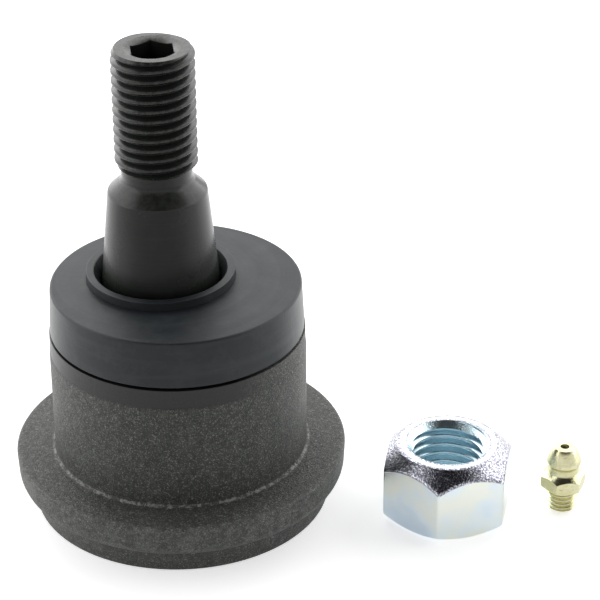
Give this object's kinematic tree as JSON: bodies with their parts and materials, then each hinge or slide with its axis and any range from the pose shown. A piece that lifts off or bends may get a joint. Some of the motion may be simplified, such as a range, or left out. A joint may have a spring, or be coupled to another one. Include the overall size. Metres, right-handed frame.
{
  "type": "suspension ball joint",
  "caption": "Press-in suspension ball joint with offset tapered stud, rubber dust boot, lock nut and grease fitting.",
  "frame": {"origin": "on the press-in barrel's axis, level with the ball's centre, 24 mm above the plane that the joint stands on", "axes": "+Z along the barrel and the stud, towards the threaded end; the nut and the grease fitting stand on the +X side; the stud is offset from the barrel towards -X and +Y"},
  "size_m": [0.1145, 0.0664, 0.0963],
  "materials": {
    "forged_steel": "rough forged, black phosphate",
    "black_oxide_steel": "satin black oxide",
    "bearing_metal": "machined",
    "spring_steel": "oiled",
    "cover_steel": "black phosphate, stamped",
    "boot_rubber": "smooth satin",
    "clear_zinc": "bright clear zinc",
    "yellow_zinc": "bright yellow zinc"
  },
  "bodies": {
    "housing": {"housing": "forged_steel", "end_cover": "cover_steel", "upper_bearing": "bearing_metal", "lower_bearing": "bearing_metal", "preload_spring": "spring_steel", "boot_base_ring": "spring_steel"},
    "boot": {"dust_boot": "boot_rubber"},
    "boot_lip": {"boot_lip_ring": "spring_steel"},
    "stud": {"ball_stud": "black_oxide_steel"},
    "nut": {"lock_nut": "clear_zinc"},
    "grease_fitting": {"fitting_body": "yellow_zinc", "fitting_spring": "spring_steel"},
    "check_ball": {"fitting_ball": "bearing_metal"}
  },
  "joints": [
    {"name": "stud_lean_x", "type": "hinge", "parent": "housing", "child": "boot", "pos_m": [-0.003, 0.0019, 0], "axis": [1, 0, 0], "range_deg": [-15, 15], "deforming": ["dust_boot"]},
    {"name": "stud_lean_y", "type": "hinge", "parent": "boot", "child": "boot_lip", "pos_m": [-0.003, 0.0019, 0], "axis": [0, 1, 0], "range_deg": [-15, 15], "deforming": ["dust_boot"]},
    {"name": "stud_spin", "type": "hinge", "parent": "boot_lip", "child": "stud", "pos_m": [-0.003, 0.0019, 0], "axis": [0, 0, 1], "continuous": true},
    {"name": "nut_lift", "type": "slide", "parent": "housing", "child": "nut", "axis": [0, 0, 1], "range_m": [0, 0.1]},
    {"name": "fitting_lift", "type": "slide", "parent": "housing", "child": "grease_fitting", "axis": [0, 0, 1], "range_m": [0, 0.1]},
    {"name": "check_ball_press", "type": "slide", "parent": "grease_fitting", "child": "check_ball", "axis": [0, 0, -1], "range_m": [0, 0.0008], "stiffness_N_per_m": 40, "springref_m": -0.001, "deforming": ["fitting_spring"]}
  ]
}
